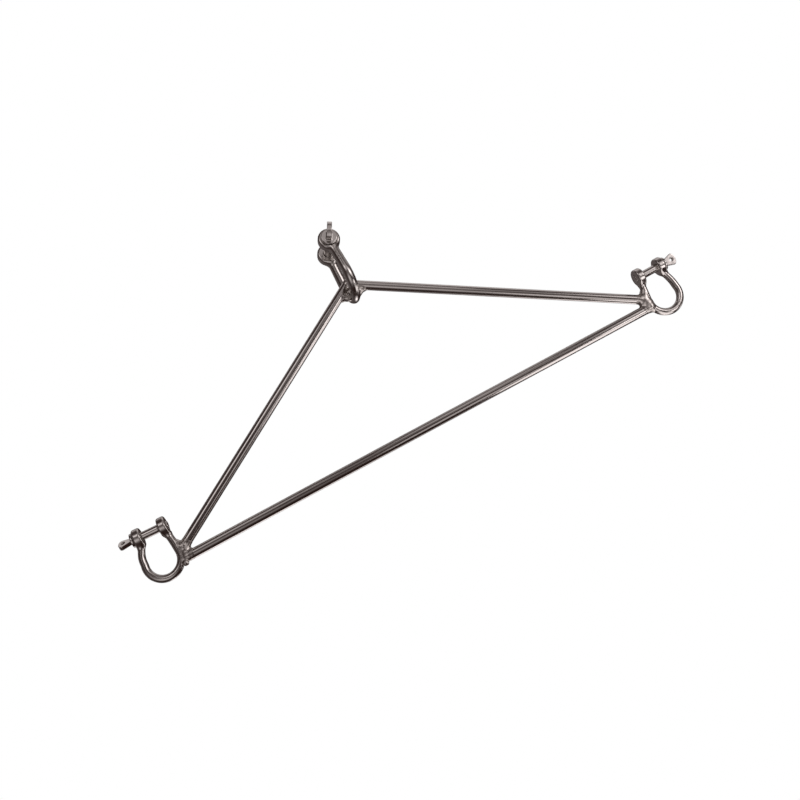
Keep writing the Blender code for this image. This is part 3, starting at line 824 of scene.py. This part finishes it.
def studio_world():
    """White to the camera, and the soft lights to everything else."""
    world = bpy.data.worlds.new("studio")
    bpy.context.scene.world = world
    world.use_nodes = True
    nodes, links = world.node_tree.nodes, world.node_tree.links

    def math_node(operation, first, second):
        node = nodes.new("ShaderNodeMath")
        node.operation = operation
        for socket, value in zip(node.inputs, (first, second)):
            if isinstance(value, float):
                socket.default_value = value
            else:
                links.new(value, socket)
        return node.outputs["Value"]

    way = nodes.new("ShaderNodeTexCoord").outputs["Generated"]
    total = None
    for azimuth, elevation, softness, radiance in STUDIO:
        azimuth, elevation, softness = (math.radians(a) for a in (azimuth, elevation, softness))
        dot = nodes.new("ShaderNodeVectorMath")
        dot.operation = "DOT_PRODUCT"
        links.new(way, dot.inputs[0])
        flat = math.cos(elevation)
        dot.inputs[1].default_value = (flat * math.cos(azimuth), flat * math.sin(azimuth), math.sin(elevation))
        drop = math_node("SUBTRACT", dot.outputs["Value"], 1.0)
        lobe = math_node("EXPONENT", math_node("MULTIPLY", drop, 1 / (1 - math.cos(softness))), 0.0)
        lobe = math_node("MULTIPLY", lobe, float(radiance))
        total = lobe if total is None else math_node("ADD", total, lobe)
    lights = nodes.new("ShaderNodeBackground")
    lights.inputs["Color"].default_value = (*LIGHT_TINT, 1)
    links.new(total, lights.inputs["Strength"])
    walls = nodes.new("ShaderNodeBackground")
    walls.inputs["Color"].default_value = (*ROOM, 1)
    walls.inputs["Strength"].default_value = 1.0
    room = nodes.new("ShaderNodeAddShader")
    links.new(lights.outputs["Background"], room.inputs[0])
    links.new(walls.outputs["Background"], room.inputs[1])
    backdrop = nodes["Background"]
    backdrop.inputs["Color"].default_value = (1, 1, 1, 1)
    backdrop.inputs["Strength"].default_value = 1.0
    mix = nodes.new("ShaderNodeMixShader")
    links.new(nodes.new("ShaderNodeLightPath").outputs["Is Camera Ray"], mix.inputs["Fac"])
    links.new(room.outputs["Shader"], mix.inputs[1])
    links.new(backdrop.outputs["Background"], mix.inputs[2])
    links.new(mix.outputs["Shader"], nodes["World Output"].inputs["Surface"])


studio_world()
softball("under_right", (0.30, -0.05, -0.55), 0.14, 1.5)
softball("right_wall", (0.85, -0.60, -0.10), 0.30, 0.55)
softball("low_right", (0.65, -0.50, -0.65), 0.16, 2.1)
softball("high_left", (-0.22, -0.50, 0.25), 0.16, 0.31)
softball("low_middle", (0.18, -0.50, -0.65), 0.19, 0.5)
softball("high_middle", (0.22, -0.50, 0.25), 0.20, 0.42)
softball("front", (0.12, -0.85, 0.05), 0.26, 0.13)
softball("front_right", (0.50, -0.85, 0.02), 0.26, 0.17)

FLOOR_HALF, FLOOR_Z = 12.0, -1.6
FLOOR_CORNERS = ((-1, -1), (1, -1), (1, 1), (-1, 1))

floor_mesh = bpy.data.meshes.new("floor")
floor_mesh.from_pydata([(x * FLOOR_HALF, y * FLOOR_HALF, FLOOR_Z) for x, y in FLOOR_CORNERS], [], [(0, 1, 2, 3)])
floor = bpy.data.objects.new("floor", floor_mesh)
bpy.context.scene.collection.objects.link(floor)
paper = bpy.data.materials.new("white_sweep")
paper.use_nodes = True
shader = paper.node_tree.nodes["Principled BSDF"]
shader.inputs["Base Color"].default_value = (0, 0, 0, 1)
shader.inputs["Specular IOR Level"].default_value = 0.0
shader.inputs["Emission Color"].default_value = (1, 1, 1, 1)
shader.inputs["Emission Strength"].default_value = 1.0
floor_mesh.materials.append(paper)
floor.visible_glossy = False
floor.visible_diffuse = False
